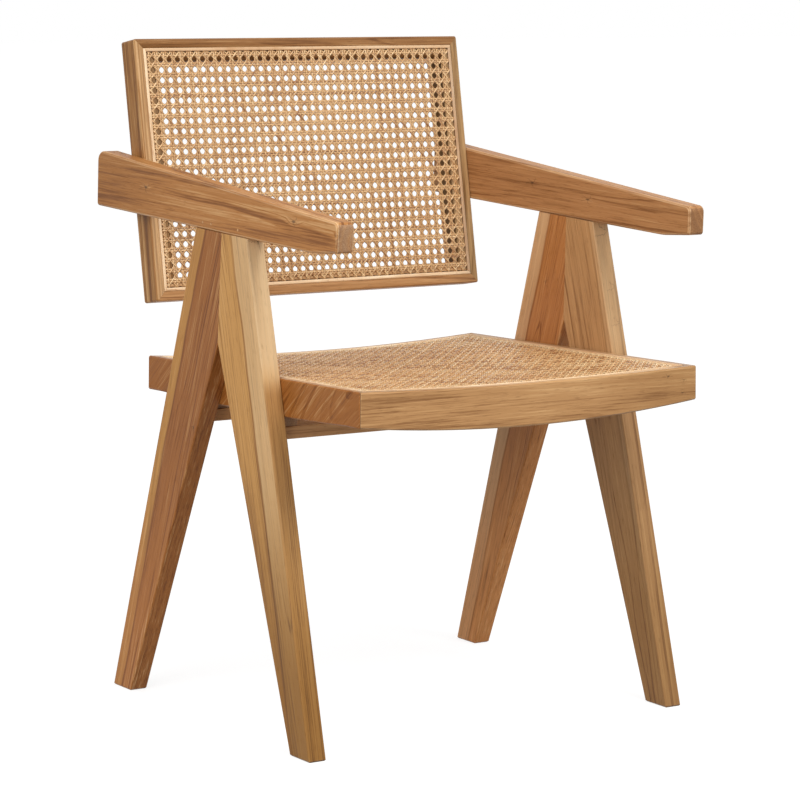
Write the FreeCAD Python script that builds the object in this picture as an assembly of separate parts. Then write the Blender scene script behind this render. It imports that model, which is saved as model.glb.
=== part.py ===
import FreeCAD, Part
import math
import os

Vector = FreeCAD.Vector

# A teak armchair with a caned seat and a caned, reclined back.
# Sizes are in millimetres. X runs to the viewer's right, Y to the back and Z up.
# While the chair is built, Y is counted from the plane where a side's two legs meet.
# A reach is a distance ahead of that plane or behind it, and a height is above the floor.

# Whole chair
overallHeight = 800.0
footSpan = 557.6
sideLean = 12.0  # how far each side frame leans inwards over the chair's height
overrun = 12.0  # how far a cutting shape runs past what it cuts
nearEnough = 0.01

# Fits
slack = 0.1  # between the faces of a tenon, dowel, pin or screw and its hole
endGap = 1.0  # left at the blind end of a mortise or hole

# Legs
legThickness = 24.0
crotchRise = 20.6  # from the seat's front edge up to where a side's two legs part
frontToeReach = 223.5
frontTopReach = 53.3  # of the leg's outer edge, where it meets the arm
frontFootLength = 40.7
rearTailReach = 211.5
rearTopReach = 56.4
rearFootLength = 40.2
legEasing = 2.0
footChamfer = 2.0
legTenonThickness = 10.0
legTenonHeight = 25.0
legTenonShoulder = 8.5
legTongueWidth = 40.0
legTongueThickness = 6.0
legTongueMargin = 24.0  # from the tongue to either end of the two legs' glued edge

# Arms
armThickness = 24.0
armRise = 150.4  # from the seat's front edge up to the kink in the arm's underside
armFrontReach = 237.7
armNoseLength = 50.0  # from the arm's front end back to the kink
armRearReach = 285.7
armFrontLift = 5.1  # of the underside's ends, above the kink
armRearLift = 7.4
armFrontDepth = 34.5
armRearDepth = 68.7
armFrontCorner = 8.0
armRearCorner = 12.0
armLowCorner = 4.0
armKinkRadius = 90.0
armEasing = 1.8
armPinRadius = 1.5
armPinLength = 15.0
armPinRise = 8.0
frontPinShares = (0.287,)  # places along a tenon, from its front end
rearPinShares = (0.381, 0.84)

# Cross bars under the seat
barHeight = 15.0
barDepth = 46.0
barGap = 5.5  # below the lower end of the seat's side rails
frontBarShare = 0.627  # place across the leg, from its front edge
rearBarShare = 0.512
barEasing = 1.5
barTenonThickness = 9.0
barTenonShoulder = 4.0
barTenonLength = 13.0
blockWidth = 32.0  # of the blocks that carry the side rails on the bars
blockSetBack = 2.0  # from the bar's edges

# Cane, its groove and the splines that hold it, alike on the seat and the back
grooveMargin = 11.4
grooveWidth = 5.8
grooveDepth = 9.0
caneThickness = 1.3
caneTuck = 8.4
splineWidth = 4.4
splineDepth = 8.2
splineCrown = 0.7
splineEasing = 1.0

# Seat
seatHeightShare = 0.543  # height of the seat's front edge, out of the chair's height
seatFall = 19.2  # from the seat's front edge down to its rear edge
seatFrontReach = 260.2
seatRearReach = 192.6
seatRailDepth = 41.4
seatFrontDip = 5.0
seatRearDip = 8.8
seatRailBow = 14.0
seatSideBow = 3.5
seatEasing = 1.6
screwRadius = 2.5
screwHeadRadius = 5.0
screwHeadDepth = 3.0
screwLength = 42.0
screwSink = 0.4
screwDrop = 27.0

# Members of the seat's and the back's frames, and the loose tongues in their mitred corners
memberWidth = 28.0
tongueWidth = 12.0
tongueLength = 20.0
tongueThickness = 6.0

# Back
backSetIn = 15.4  # of the back's lower edge, ahead of the seat's rear edge
backLift = 68.6  # of that edge, above the seat's rear edge
backLean = 66.3  # how far the back leans over its height
backThickness = 32.0
backCorner = 3.0
backEasing = 1.8
backDowelRadius = 5.0
backDowelLength = 32.0
backDowelInset = 15.0


seatFrontHeight = overallHeight * seatHeightShare
seatRearHeight = seatFrontHeight - seatFall
crotchHeight = seatFrontHeight + crotchRise
frontHeelReach = frontToeReach - frontFootLength
rearToeReach = rearTailReach - rearFootLength
armKinkReach = armFrontReach - armNoseLength
armUnderKink = seatFrontHeight + armRise
armUnderFront = armUnderKink + armFrontLift
armUnderRear = armUnderKink + armRearLift
armTopFront = armUnderFront + armFrontDepth
armTopRear = armUnderRear + armRearDepth
barUnderside = seatRearHeight - seatRailDepth - barGap - barHeight
backBottomReach = seatRearReach - backSetIn
backBottomHeight = seatRearHeight + backLift


def outerAt(height):
    return footSpan / 2 - sideLean * height / overallHeight


def innerAt(height):
    return outerAt(height) - legThickness


def armUnderAt(y):
    return armUnderKink + armRearLift * (y + armKinkReach) / (armRearReach + armKinkReach)


armOuter = outerAt(armUnderAt(0))
armInner = armOuter - armThickness
armMiddle = armOuter - armThickness / 2
barMiddle = barUnderside + barHeight / 2

seatHalfWidth = innerAt(seatFrontHeight)
seatRun = seatFrontReach + seatRearReach
seatLength = math.hypot(seatRun, seatFall)
seatTilt = math.atan2(seatFall, seatRun)

backHalfWidth = armInner
backRise = overallHeight - backBottomHeight
backLength = math.hypot(backLean, backRise)
backRecline = math.atan2(backLean, backRise)


def block(x0, x1, y0, y1, z0, z1):
    return Part.makeBox(x1 - x0, y1 - y0, z1 - z0, Vector(x0, y0, z0))


# Long edges that lie on the line between two points of a side view, given as (y, z)
def edgesAlong(shape, start, end):
    line = Part.makeLine(Vector(0, *start), Vector(0, *end))
    found = []
    for edge in shape.Edges:
        ends = [Part.Vertex(0, vertex.Y, vertex.Z) for vertex in edge.Vertexes]
        if edge.Length > line.Length / 2 and max(line.distToShape(mark)[0] for mark in ends) < nearEnough:
            found.append(edge)
    return found


def mirrored(shape):
    return shape.mirror(Vector(0, 0, 0), Vector(1, 0, 0))


# The space between the two side frames, whose inner faces lean together
def betweenLegs():
    reach = armFrontReach + armRearReach
    low = innerAt(0)
    high = innerAt(overallHeight)
    corners = [
        Vector(-low, -reach, 0),
        Vector(low, -reach, 0),
        Vector(high, -reach, overallHeight),
        Vector(-high, -reach, overallHeight),
    ]
    face = Part.Face(Part.makePolygon(corners + corners[:1]))
    return face.extrude(Vector(0, 2 * reach, 0))


# The front and rear edges of a side's two legs, as Y at a height up to where they part
def frontLegAt(height):
    risen = height / armUnderAt(-frontTopReach)
    front = -frontToeReach + (frontToeReach - frontTopReach) * risen
    return front, -frontHeelReach * (1 - height / crotchHeight)


def rearLegAt(height):
    risen = height / armUnderAt(rearTopReach)
    rear = rearTailReach - (rearTailReach - rearTopReach) * risen
    return rearToeReach * (1 - height / crotchHeight), rear


# A point between the two ends of a span, at a share of the way
def along(span, share):
    return span[0] + (span[1] - span[0]) * share


frontTenonSpan = (-frontTopReach + legTenonShoulder, -legTenonShoulder)
rearTenonSpan = (legTenonShoulder, rearTopReach - legTenonShoulder)
frontBarY = along(frontLegAt(barMiddle), frontBarShare)
rearBarY = along(rearLegAt(barMiddle), rearBarShare)


# A leg's tenon in the arm, or the mortise for it when there is slack
def legTenon(span, gap=0, end=0):
    half = legTenonThickness / 2 + gap
    low = armUnderAt(0) - overrun
    high = armUnderAt(0) + legTenonHeight + end
    return block(armMiddle - half, armMiddle + half, span[0] - gap, span[1] + gap, low, high)


# The three pins that lock the tenons, driven in from the arm's outer face
def armPins(gap=0, end=0):
    places = [along(frontTenonSpan, share) for share in frontPinShares]
    places += [along(rearTenonSpan, share) for share in rearPinShares]
    pins = []
    for y in places:
        start = Vector(armOuter, y, armUnderAt(y) + armPinRise)
        pins.append(Part.makeCylinder(armPinRadius + gap, armPinLength + end, start, Vector(-1, 0, 0)))
    return Part.makeCompound(pins)


# A flat plate of the right side frame, from its outline in the side view, that leans with the legs
def leaningPlate(outline, setIn, thickness):
    corners = [Vector(outerAt(z) - setIn, y, z) for y, z in outline]
    face = Part.Face(Part.makePolygon(corners + corners[:1]))
    return face.extrude(Vector(-thickness, 0, 0))


# The loose tongue across the glued edge of a side's two legs, or the groove for it
def legTongue(gap=0, end=0):
    half = legTongueWidth / 2 + end
    low = crotchHeight + legTongueMargin - gap
    high = armUnderAt(0) - legTongueMargin + gap
    outline = [(-half, low), (half, low), (half, high), (-half, high)]
    thickness = legTongueThickness + 2 * gap
    return leaningPlate(outline, (legThickness - thickness) / 2, thickness)


# A tenon right through the bar's length, so that it stands out of both ends
def barTenon(centreY, gap=0, end=0):
    reach = innerAt(barMiddle) + barTenonLength + end
    half = barDepth / 2 - barTenonShoulder + gap
    rise = barTenonThickness / 2 + gap
    return block(-reach, reach, centreY - half, centreY + half, barMiddle - rise, barMiddle + rise)


def crossBar(centreY):
    reach = innerAt(0)
    half = barDepth / 2
    bar = block(-reach, reach, centreY - half, centreY + half, barUnderside, barUnderside + barHeight)
    long = [edge for edge in bar.Edges if edge.Length > barHeight + barDepth]
    bar = bar.makeFillet(barEasing, long).common(betweenLegs())
    return bar.fuse(barTenon(centreY)).removeSplitter()


# A height on the line of the seat's top, at a distance behind the leg joint
def seatLineAt(y):
    return seatFrontHeight - (y + seatFrontReach) * seatFall / seatRun


# Where the seat's screws enter the middles of the legs, as (y, z)
def screwPlaces():
    height = seatLineAt(0) - screwDrop
    middles = [sum(edges) / 2 for edges in (frontLegAt(height), rearLegAt(height))]
    return [(y, seatLineAt(y) - screwDrop) for y in middles]


# One countersunk screw from inside the seat's side rail into a leg, or the hole for it
def seatScrew(y, z, gap=0, end=0):
    head = seatHalfWidth - memberWidth + screwSink - gap
    neck = head + screwHeadDepth
    tip = head + screwLength + end
    wide = screwHeadRadius + gap
    narrow = screwRadius + gap
    profile = [(head, 0), (head, wide), (neck, narrow), (tip, narrow), (tip, 0)]
    corners = [Vector(x, y + radius, z) for x, radius in profile]
    outline = Part.Face(Part.makePolygon(corners + corners[:1]))
    screw = outline.revolve(Vector(0, y, z), Vector(1, 0, 0), 360)
    if gap:
        mouth = Part.makeCylinder(wide, overrun, Vector(head, y, z), Vector(-1, 0, 0))
        screw = screw.fuse(mouth)
    return screw


def seatScrews(gap=0, end=0):
    return Part.makeCompound([seatScrew(y, z, gap, end) for y, z in screwPlaces()])


# A leg's board with its arrises rounded, before its joints are cut
def legBoard(outline, easedLines):
    board = leaningPlate(outline, 0, legThickness)
    floorEdges = [edge for edge in board.Edges if edge.BoundBox.ZMax < nearEnough]
    board = board.makeChamfer(footChamfer, floorEdges)
    eased = []
    for start, end in easedLines:
        eased += edgesAlong(board, start, end)
    return board.makeFillet(legEasing, eased)


def finishedLeg(board, tenonSpan, barY):
    leg = board.fuse(legTenon(tenonSpan)).removeSplitter()
    for hole in (armPins(slack, endGap), legTongue(slack, endGap), seatScrews(slack, endGap)):
        leg = leg.cut(hole)
    return leg.cut(barTenon(barY, slack, endGap))


def frontLeg():
    toe = (-frontToeReach, 0)
    heel = (-frontHeelReach, 0)
    crotch = (0, crotchHeight)
    top = (0, armUnderAt(0))
    outerTop = (-frontTopReach, armUnderAt(-frontTopReach))
    board = legBoard([toe, outerTop, top, crotch, heel], [(toe, outerTop), (heel, crotch)])
    return finishedLeg(board, frontTenonSpan, frontBarY)


def rearLeg():
    tail = (rearTailReach, 0)
    toe = (rearToeReach, 0)
    crotch = (0, crotchHeight)
    top = (0, armUnderAt(0))
    outerTop = (rearTopReach, armUnderAt(rearTopReach))
    board = legBoard([tail, outerTop, top, crotch, toe], [(tail, outerTop), (toe, crotch)])
    return finishedLeg(board, rearTenonSpan, rearBarY)


# A closed outline through corners given as (y, z, radius), each rounded by its radius
def roundedOutline(x, corners):
    starts = []
    edges = []
    count = len(corners)
    for index in range(count):
        before = Vector(x, *corners[index - 1][:2])
        corner = Vector(x, *corners[index][:2])
        after = Vector(x, *corners[(index + 1) % count][:2])
        radius = corners[index][2]
        toBefore = (before - corner).normalize()
        toAfter = (after - corner).normalize()
        halfAngle = toBefore.getAngle(toAfter) / 2
        setBack = radius / math.tan(halfAngle)
        bisector = (toBefore + toAfter).normalize()
        centre = corner + bisector * (radius / math.sin(halfAngle))
        middle = centre - bisector * radius
        starts.append((corner + toBefore * setBack, middle, corner + toAfter * setBack))
    for index in range(count):
        enter, middle, leave = starts[index]
        edges.append(Part.Arc(enter, middle, leave).toShape())
        edges.append(Part.makeLine(leave, starts[(index + 1) % count][0]))
    return Part.Wire(edges)


def arm():
    outline = roundedOutline(armOuter, [
        (-armFrontReach, armTopFront, armFrontCorner),
        (armRearReach, armTopRear, armRearCorner),
        (armRearReach, armUnderRear, armLowCorner),
        (-armKinkReach, armUnderKink, armKinkRadius),
        (-armFrontReach, armUnderFront, armLowCorner),
    ])
    board = Part.Face(outline).extrude(Vector(-armThickness, 0, 0))
    rims = [edge for edge in board.Edges if edge.BoundBox.XLength < nearEnough]
    board = board.makeChamfer(armEasing, rims)
    for span in (frontTenonSpan, rearTenonSpan):
        board = board.cut(legTenon(span, slack, endGap))
    return board.cut(armPins(slack, endGap)).cut(backDowels(slack, endGap))


# The seat and the back are drawn flat: X across, Y along the frame, and Z out of its caned face
def onSeat(shape):
    placed = shape.copy()
    placed.rotate(Vector(0, 0, 0), Vector(1, 0, 0), -math.degrees(seatTilt))
    placed.translate(Vector(0, -seatFrontReach, seatFrontHeight))
    return placed


def onBack(shape):
    placed = shape.copy()
    placed.rotate(Vector(0, 0, 0), Vector(1, 0, 0), math.degrees(math.pi / 2 - backRecline))
    placed.translate(Vector(0, backBottomReach, backBottomHeight))
    return placed


# An arc across the seat that sags below its ends, drawn on past them by the overrun
def saggingArc(y, sag, lift):
    radius = (seatHalfWidth ** 2 + sag ** 2) / (2 * sag)
    reach = seatHalfWidth + overrun
    rise = radius - sag - math.sqrt(radius ** 2 - reach ** 2)
    return Part.Arc(Vector(-reach, y, rise + lift), Vector(0, y, lift - sag), Vector(reach, y, rise + lift))


# A closed section across the seat between two sagging arcs
def saggingSection(y, lowSag, lowLift, highSag, highLift):
    low = saggingArc(y, lowSag, lowLift).toShape()
    high = saggingArc(y, highSag, highLift).toShape()
    left = Part.makeLine(low.Vertexes[0].Point, high.Vertexes[0].Point)
    right = Part.makeLine(low.Vertexes[1].Point, high.Vertexes[1].Point)
    return Part.Wire([low, right, high, left])


def saddleDipAt(y):
    return seatFrontDip + (seatRearDip - seatFrontDip) * y / seatLength


# The layer between two heights over the seat's saddle, which sags more at the rear than at the front
def saddleLayer(low, high):
    sections = []
    for y in (-overrun, seatLength + overrun):
        dip = saddleDipAt(y)
        sections.append(saggingSection(y, dip, low, dip, high))
    return Part.makeLoft(sections, True, True)


def backLayer(low, high):
    return block(-armOuter, armOuter, -overrun, backLength + overrun, low, high)


# A plate inside a frame's outline, drawn in by inset and much thicker than the frame
def insetPlate(halfWidth, length, inset):
    half = halfWidth - inset
    return block(-half, half, inset, length - inset, -overallHeight, overallHeight)


def insetRing(halfWidth, length, outerInset, innerInset):
    return insetPlate(halfWidth, length, outerInset).cut(insetPlate(halfWidth, length, innerInset))


ledgeInset = grooveMargin + grooveWidth
tuckInset = ledgeInset - caneThickness + slack
splineInset = grooveMargin + slack


# What is cut from a frame for its cane: the groove, and inside it the ledge that the cane lies on
def caneSeat(halfWidth, length, layer):
    groove = insetRing(halfWidth, length, grooveMargin, ledgeInset).common(layer(-grooveDepth, overrun))
    ledge = insetPlate(halfWidth, length, ledgeInset).common(layer(-caneThickness - slack, overrun))
    return Part.makeCompound([groove, ledge])


# The cane: a thin sheet over the ledge, with its edge turned down into the groove
def cane(halfWidth, length, layer):
    sheet = insetPlate(halfWidth, length, tuckInset).common(layer(-caneThickness, 0))
    tuck = insetRing(halfWidth, length, tuckInset, ledgeInset - slack / 2).common(layer(-caneTuck, 0))
    return sheet.fuse(tuck).removeSplitter()


# Prisms that part a frame on the diagonals of its corners
def mitreWedges(halfWidth, length):
    out = overrun
    bite = memberWidth + overrun
    left = [
        (-halfWidth - out, -out),
        (-halfWidth + bite, bite),
        (-halfWidth + bite, length - bite),
        (-halfWidth - out, length + out),
    ]
    near = [
        (-halfWidth - out, -out),
        (halfWidth + out, -out),
        (halfWidth - bite, bite),
        (-halfWidth + bite, bite),
    ]
    outlines = {
        "near": near,
        "far": [(x, length - y) for x, y in near],
        "left": left,
        "right": [(-x, y) for x, y in left],
    }
    wedges = {}
    for side, outline in outlines.items():
        corners = [Vector(x, y, -overallHeight) for x, y in outline]
        face = Part.Face(Part.makePolygon(corners + corners[:1]))
        wedges[side] = face.extrude(Vector(0, 0, 2 * overallHeight))
    return wedges


# The four mitred splines that wedge the cane into its groove, each with an eased top
def splines(halfWidth, length, layer):
    ring = insetRing(halfWidth, length, splineInset, splineInset + splineWidth)
    ring = ring.common(layer(-splineDepth, splineCrown))
    pieces = {}
    for side, wedge in mitreWedges(halfWidth, length).items():
        piece = ring.common(wedge)
        sides = [face for face in piece.Faces if face.Length > 4 * memberWidth]
        top = max(sides, key=lambda face: face.CenterOfMass.z)
        long = [edge for edge in top.Edges if edge.Length > 2 * memberWidth]
        pieces[side] = piece.Solids[0].makeChamfer(splineEasing, long)
    return pieces


# The blank of the seat's front or rear rail, with its lower edge bowed downwards
def curvedRail(start, end):
    sections = []
    for y in (start, end):
        dip = saddleDipAt(y)
        sections.append(saggingSection(y, seatRailBow, -seatRailDepth, dip, 0))
    return Part.makeLoft(sections, True, True)


# The seat's front or rear rail with both its corners, eased all round but on its inner side
def seatCrossRail(start, end, innerSide):
    rail = onSeat(curvedRail(start, end)).common(betweenLegs()).Solids[0]
    depth = seatRailDepth + seatRailBow + overrun
    inner = onSeat(block(-armOuter, armOuter, innerSide, innerSide + nearEnough, -depth, overrun))
    eased = []
    for edge in rail.Edges:
        if max(inner.distToShape(mark)[0] for mark in edge.Vertexes) > nearEnough:
            eased.append(edge)
    rail = rail.makeChamfer(seatEasing, eased)
    return rail.cut(onSeat(caneSeat(seatHalfWidth, seatLength, saddleLayer)))


# What lies between the front and rear rails, above the bowed lower edge of the side rails
def sideRailBlank(inner, outer):
    start = memberWidth
    end = seatLength - memberWidth
    low = -seatRailDepth
    lowest = Vector(inner, seatLength / 2, low - seatSideBow)
    bow = Part.Arc(Vector(inner, start, low), lowest, Vector(inner, end, low)).toShape()
    corners = [(end, low), (end, overrun), (start, overrun), (start, low)]
    rest = Part.makePolygon([Vector(inner, y, z) for y, z in corners])
    return Part.Face(Part.Wire([bow] + rest.Edges)).extrude(Vector(outer - inner, 0, 0))


# The seat's right side rail, between the corners
def seatSideRail():
    blank = sideRailBlank(seatHalfWidth - memberWidth, seatHalfWidth + overrun)
    rail = onSeat(blank.common(saddleLayer(-seatRailDepth - overrun, 0))).common(betweenLegs()).Solids[0]
    outerFace = max(rail.Faces, key=lambda face: face.CenterOfMass.x)
    long = [edge for edge in outerFace.Edges if edge.Length > 2 * seatRailDepth]
    rail = rail.makeChamfer(seatEasing, long)
    rail = rail.cut(onSeat(caneSeat(seatHalfWidth, seatLength, saddleLayer)))
    return rail.cut(seatScrews(slack, endGap))


# The four rails of the seat, with their corners parted on the mitres and slotted for the tongues
def seatRails():
    rearStart = seatLength - memberWidth
    front = seatCrossRail(0, memberWidth, memberWidth)
    rear = seatCrossRail(rearStart, seatLength, rearStart)
    wedges = mitreWedges(seatHalfWidth, seatLength)
    slots = onSeat(mitreTongues(seatHalfWidth, seatLength, seatRailDepth, slack, endGap))
    right = seatSideRail()
    for rail in (front, rear):
        right = right.fuse(rail.common(onSeat(wedges["right"])))
    right = right.removeSplitter().cut(slots).Solids[0]
    rails = {"right": right, "left": mirrored(right)}
    rails["front"] = front.common(onSeat(wedges["near"])).cut(slots).Solids[0]
    rails["rear"] = rear.common(onSeat(wedges["far"])).cut(slots).Solids[0]
    return rails


# The blocks between the two cross bars and the side rails, cut to the rails' lower edges
def seatBlocks():
    low = barUnderside + barHeight
    inner = seatHalfWidth - blockWidth
    half = barDepth / 2 - blockSetBack
    blocks = []
    for middle in (frontBarY, rearBarY):
        piece = block(inner, innerAt(0), middle - half, middle + half, low, seatRearHeight)
        piece = piece.common(betweenLegs()).cut(onSeat(sideRailBlank(-armOuter, armOuter)))
        blocks.append(piece.Solids[0])
    return Part.makeCompound(blocks)


# The mitred back frame in one piece, before it is parted on its corners
def backBlank():
    length = backLength
    plate = block(-backHalfWidth, backHalfWidth, 0, length, -backThickness, 0)
    posts = [edge for edge in plate.Edges if edge.BoundBox.ZLength > backThickness - nearEnough]
    plate = plate.makeFillet(backCorner, posts)
    rims = [edge for edge in plate.Edges if edge.BoundBox.ZLength < nearEnough]
    plate = plate.makeChamfer(backEasing, rims)
    window = insetPlate(backHalfWidth, length, memberWidth)
    return plate.cut(window).cut(caneSeat(backHalfWidth, length, backLayer))


# Loose tongues across a frame's mitres, hidden behind the groove, or the slots for them
def mitreTongues(frameHalf, length, depth, gap=0, end=0):
    middle = -(grooveDepth + depth) / 2
    halfWidth = tongueWidth / 2 + gap
    halfLength = tongueLength / 2 + end
    rise = tongueThickness / 2 + gap
    tongues = []
    for side in (-1, 1):
        for y, turn in ((memberWidth / 2, side), (length - memberWidth / 2, -side)):
            tongue = block(-halfWidth, halfWidth, -halfLength, halfLength, middle - rise, middle + rise)
            tongue.rotate(Vector(0, 0, 0), Vector(0, 0, 1), turn * 45)
            tongue.translate(Vector(side * (frameHalf - memberWidth / 2), y, 0))
            tongues.append(tongue)
    return Part.makeCompound(tongues)


# Dowels that carry the back between the arms, on the right side, in the chair's own position
def backDowels(gap=0, end=0):
    dowels = []
    for height in (armUnderRear + backDowelInset, armTopRear - backDowelInset - backDowelRadius):
        depth = backThickness / 2
        rise = (height - backBottomHeight + depth * math.sin(backRecline)) / math.cos(backRecline)
        half = backDowelLength / 2 + end
        start = Vector(backHalfWidth - half, rise, -depth)
        dowels.append(Part.makeCylinder(backDowelRadius + gap, 2 * half, start, Vector(1, 0, 0)))
    return onBack(Part.makeCompound(dowels))


def bothSides(shape):
    return Part.makeCompound([shape, mirrored(shape)])


pieces = {}


def addPair(name, shape):
    pieces["right_" + name] = shape
    pieces["left_" + name] = mirrored(shape)


def addSideFrames():
    addPair("front_leg", frontLeg())
    addPair("rear_leg", rearLeg())
    addPair("arm", arm())
    pieces["leg_joint_tongues"] = bothSides(legTongue())
    pieces["arm_pins"] = bothSides(armPins())
    pieces["front_cross_bar"] = crossBar(frontBarY)
    pieces["rear_cross_bar"] = crossBar(rearBarY)


def addSeat():
    for side, rail in seatRails().items():
        pieces["seat_" + side + "_rail"] = rail
    pieces["seat_mitre_tongues"] = onSeat(mitreTongues(seatHalfWidth, seatLength, seatRailDepth))
    pieces["seat_blocks"] = bothSides(seatBlocks())
    pieces["seat_screws"] = bothSides(seatScrews())
    pieces["seat_cane"] = onSeat(cane(seatHalfWidth, seatLength, saddleLayer))
    names = {"near": "front", "far": "rear", "left": "left", "right": "right"}
    for side, spline in splines(seatHalfWidth, seatLength, saddleLayer).items():
        pieces["seat_spline_" + names[side]] = onSeat(spline)


def addBack():
    blank = backBlank()
    wedges = mitreWedges(backHalfWidth, backLength)
    slots = mitreTongues(backHalfWidth, backLength, backThickness, slack, endGap)
    names = {"near": "bottom_rail", "far": "top_rail", "left": "left_stile", "right": "right_stile"}
    for side, wedge in wedges.items():
        member = onBack(blank.common(wedge).cut(slots))
        if side in ("left", "right"):
            member = member.cut(bothSides(backDowels(slack, endGap)))
        pieces["back_" + names[side]] = member
    pieces["back_mitre_tongues"] = onBack(mitreTongues(backHalfWidth, backLength, backThickness))
    pieces["back_dowels"] = bothSides(backDowels())
    pieces["back_cane"] = onBack(cane(backHalfWidth, backLength, backLayer))
    names = {"near": "bottom", "far": "top", "left": "left", "right": "right"}
    for side, spline in splines(backHalfWidth, backLength, backLayer).items():
        pieces["back_spline_" + names[side]] = onBack(spline)


addSideFrames()
addSeat()
addBack()

# The finished chair stands with the middle of its base at the origin
whole = Part.makeCompound(list(pieces.values())).optimalBoundingBox(False, False)
os.makedirs("parts", exist_ok=True)
for name, shape in pieces.items():
    shape.translate(Vector(0, -(whole.YMin + whole.YMax) / 2, 0))
    shape.exportStep("parts/" + name + ".step")
print("pieces", len(pieces))
print("width", whole.XLength, "depth", whole.YLength, "height", whole.ZLength)
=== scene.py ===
import bpy
import bmesh
import math
import numpy as np
from mathutils import Matrix, Vector
from mathutils.bvhtree import BVHTree


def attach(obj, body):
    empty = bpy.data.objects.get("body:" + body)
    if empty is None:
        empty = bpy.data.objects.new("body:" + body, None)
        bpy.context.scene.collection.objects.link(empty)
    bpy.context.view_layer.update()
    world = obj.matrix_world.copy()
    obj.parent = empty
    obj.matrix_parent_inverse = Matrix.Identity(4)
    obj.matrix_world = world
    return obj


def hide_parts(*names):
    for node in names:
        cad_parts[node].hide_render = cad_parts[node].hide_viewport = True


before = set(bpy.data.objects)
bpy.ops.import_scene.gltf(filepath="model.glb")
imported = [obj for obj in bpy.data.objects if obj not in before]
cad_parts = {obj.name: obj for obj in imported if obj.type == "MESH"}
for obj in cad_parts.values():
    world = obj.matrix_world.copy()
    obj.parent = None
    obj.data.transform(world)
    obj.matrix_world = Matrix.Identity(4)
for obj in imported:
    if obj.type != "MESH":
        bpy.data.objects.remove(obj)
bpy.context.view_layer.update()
print("frame loaded,", len(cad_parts), "nodes")

# Small helpers


def addObject(name, data):
    made = bpy.data.objects.new(name, data)
    bpy.context.scene.collection.objects.link(made)
    return made


def meshFrom(bm, name):
    mesh = bpy.data.meshes.new(name)
    bm.to_mesh(mesh)
    bm.free()
    return mesh


# A node with its settings, and its inputs as values or other nodes' outputs
def addNode(tree, kind, settings=None, inputs=None):
    node = tree.nodes.new(kind)
    for name, value in (settings or {}).items():
        setattr(node, name, value)
    for name, value in (inputs or {}).items():
        if isinstance(value, bpy.types.NodeSocket):
            tree.links.new(value, node.inputs[name])
        else:
            node.inputs[name].default_value = value
    return node


def calculate(tree, operation, *values):
    return addNode(tree, "ShaderNodeMath", {"operation": operation}, dict(enumerate(values))).outputs[0]


def plus(tree, first, second):
    return calculate(tree, "ADD", first, second)


def minus(tree, first, second):
    return calculate(tree, "SUBTRACT", first, second)


def times(tree, first, second):
    return calculate(tree, "MULTIPLY", first, second)


def vectorMath(tree, operation, *vectors):
    return addNode(tree, "ShaderNodeVectorMath", {"operation": operation}, dict(enumerate(vectors))).outputs


def scaled(tree, vector, factors):
    return vectorMath(tree, "MULTIPLY", vector, factors)[0]


def added(tree, first, second):
    return vectorMath(tree, "ADD", first, second)[0]


def lengthOf(tree, vector):
    return vectorMath(tree, "LENGTH", vector)["Value"]


def parted(tree, vector):
    return addNode(tree, "ShaderNodeSeparateXYZ", None, {0: vector}).outputs


def joined(tree, x, y, z):
    return addNode(tree, "ShaderNodeCombineXYZ", None, {0: x, 1: y, 2: z}).outputs[0]


def attribute(tree, name, output="Fac"):
    return addNode(tree, "ShaderNodeAttribute", {"attribute_name": name}).outputs[output]


# The chair's places, turned to a pattern's own axes
def turnedPlace(tree, origin, turn):
    coordinates = tree.nodes.new("ShaderNodeTexCoord").outputs["Object"]
    inputs = {"Vector": coordinates, "Location": origin, "Rotation": turn}
    return addNode(tree, "ShaderNodeMapping", {"vector_type": "TEXTURE"}, inputs).outputs[0]


# Noise of a scaled place, first as a value and then as a colour
def noise(tree, place, scale, detail, rough=0.5):
    inputs = {"Vector": scaled(tree, place, scale), "Scale": 1, "Detail": detail, "Roughness": rough}
    return addNode(tree, "ShaderNodeTexNoise", None, inputs).outputs


def bandNoise(tree, place, detail, rough=0.6):
    inputs = {"W": place, "Scale": 1, "Detail": detail, "Roughness": rough}
    return addNode(tree, "ShaderNodeTexNoise", {"noise_dimensions": "1D"}, inputs).outputs[0]


# A smooth step from one value to another while the input goes from low to high
def step(tree, value, low, high, start=0.0, end=1.0):
    inputs = {"Value": value, "From Min": low, "From Max": high, "To Min": start, "To Max": end}
    return addNode(tree, "ShaderNodeMapRange", {"interpolation_type": "SMOOTHSTEP"}, inputs).outputs[0]


def mixed(tree, share, first, second, blend="MIX"):
    settings = {"data_type": "RGBA", "blend_type": blend}
    return addNode(tree, "ShaderNodeMix", settings, {0: share, 6: first, 7: second}).outputs[2]


def tinted(tree, base, tint):
    return mixed(tree, 1, base, tint, "MULTIPLY")


# A new group, with the sockets for its inputs and outputs
def newGroup(name, inputs, outputs):
    group = bpy.data.node_groups.new(name, "ShaderNodeTree")
    for socket, kind in inputs.items():
        group.interface.new_socket(socket, in_out="INPUT", socket_type="NodeSocket" + kind)
    for socket, kind in outputs.items():
        group.interface.new_socket(socket, in_out="OUTPUT", socket_type="NodeSocket" + kind)
    return group, group.nodes.new("NodeGroupInput").outputs, group.nodes.new("NodeGroupOutput").inputs


def useGroup(tree, group, inputs):
    return addNode(tree, "ShaderNodeGroup", {"node_tree": group}, inputs).outputs


# A colour as it is seen on screen, from 0 to 255, made linear
def colour(red, green, blue):
    linear = [(part / 255 + 0.055) / 1.055 for part in (red, green, blue)]
    return tuple(part ** 2.4 for part in linear) + (1,)


def toned(base, other, share):
    return tuple(base[i] * (1 - share) + other[i] * share for i in range(3)) + (1,)


# Camera, light and floor

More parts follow.
